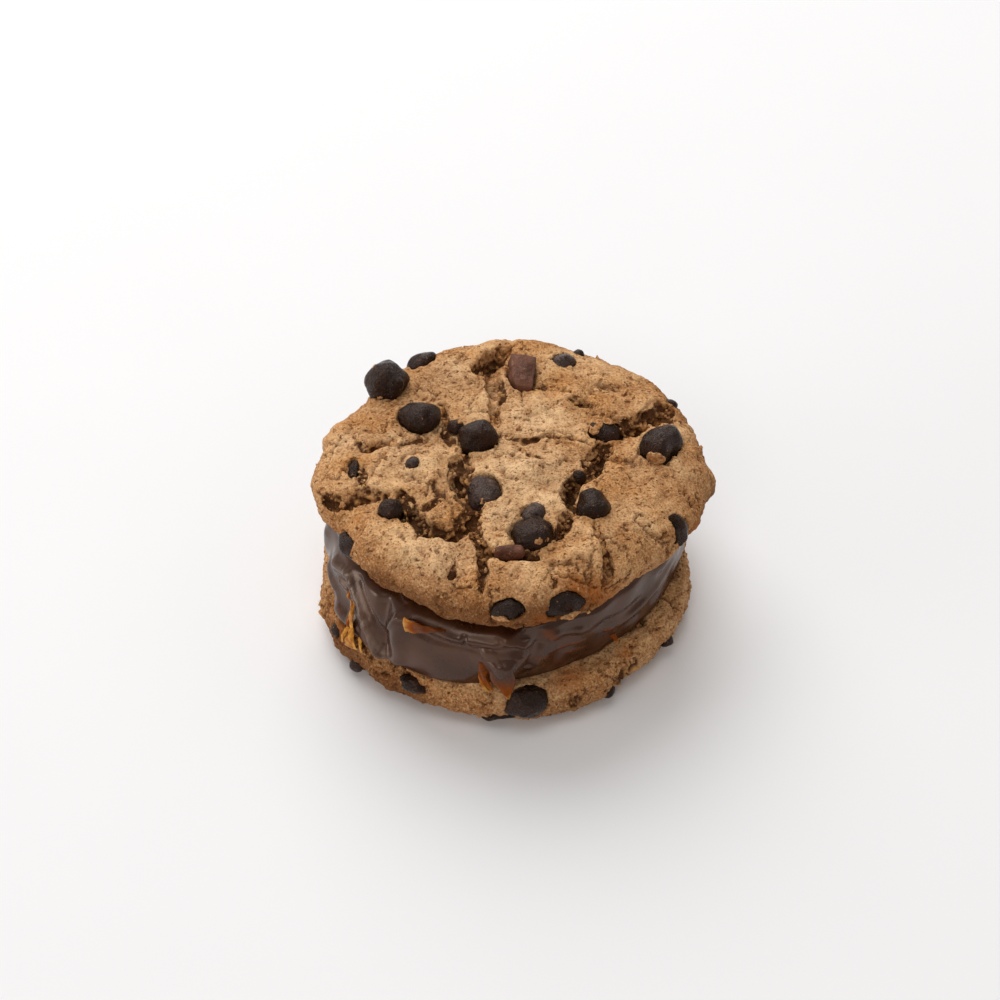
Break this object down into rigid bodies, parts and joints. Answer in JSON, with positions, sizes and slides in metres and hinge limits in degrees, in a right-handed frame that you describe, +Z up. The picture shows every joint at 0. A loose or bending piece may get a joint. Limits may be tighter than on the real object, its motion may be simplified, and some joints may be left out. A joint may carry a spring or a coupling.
{
  "type": "alfajor",
  "caption": "Round alfajor: cracked chocolate chip biscuits pressed round a thick layer of dark, glossy dulce de leche.",
  "frame": {"origin": "middle of the flat spot under the lower biscuit, on the surface that the alfajor stands on", "axes": "+Z up; -Y faces the viewer of the picture, with +X to the right"},
  "size_m": [0.0803, 0.0794, 0.0445],
  "materials": {
    "baked_dough": "matte, grainy baked biscuit",
    "dark_chocolate": "semi-gloss dark chocolate",
    "milk_chocolate": "semi-gloss milk chocolate",
    "dulce_de_leche": "glossy thick caramel"
  },
  "bodies": {
    "root": {"biscuit_lower": "baked_dough", "biscuit_upper": "baked_dough", "chip_back_left_ball": "dark_chocolate", "chip_back_left_low": "dark_chocolate", "chip_back_small": "dark_chocolate", "chip_base_back": "dark_chocolate", "chip_base_back_left": "dark_chocolate", "chip_base_back_right": "dark_chocolate", "chip_base_front": "dark_chocolate", "chip_base_front_left": "dark_chocolate", "chip_base_front_low": "dark_chocolate", "chip_base_front_right": "dark_chocolate", "chip_base_left": "dark_chocolate", "chip_base_left_low": "dark_chocolate", "chip_base_right": "dark_chocolate", "chip_centre_dusty": "dark_chocolate", "chip_crack_speck": "dark_chocolate", "chip_front_large": "dark_chocolate", "chip_front_lobe": "dark_chocolate", "chip_left_angular": "dark_chocolate", "chip_left_pit": "dark_chocolate", "chip_left_round": "dark_chocolate", "chip_left_speck": "dark_chocolate", "chip_middle_angular": "dark_chocolate", "chip_middle_dark": "dark_chocolate", "chip_milk_block": "milk_chocolate", "chip_milk_slab": "milk_chocolate", "chip_right_inner": "dark_chocolate", "chip_right_outer": "dark_chocolate", "chip_right_round": "dark_chocolate", "chip_rim_back": "dark_chocolate", "chip_rim_back_left": "dark_chocolate", "chip_rim_back_right": "dark_chocolate", "chip_rim_far_left": "dark_chocolate", "chip_rim_front": "dark_chocolate", "chip_rim_front_right": "dark_chocolate", "chip_rim_left": "dark_chocolate", "chip_rim_right": "dark_chocolate", "chip_under_a": "dark_chocolate", "chip_under_b": "dark_chocolate", "chip_under_c": "dark_chocolate", "chip_under_d": "dark_chocolate", "chip_under_e": "dark_chocolate", "chip_under_f": "dark_chocolate", "chip_under_g": "dark_chocolate", "filling": "dulce_de_leche"}
  },
  "joints": []
}
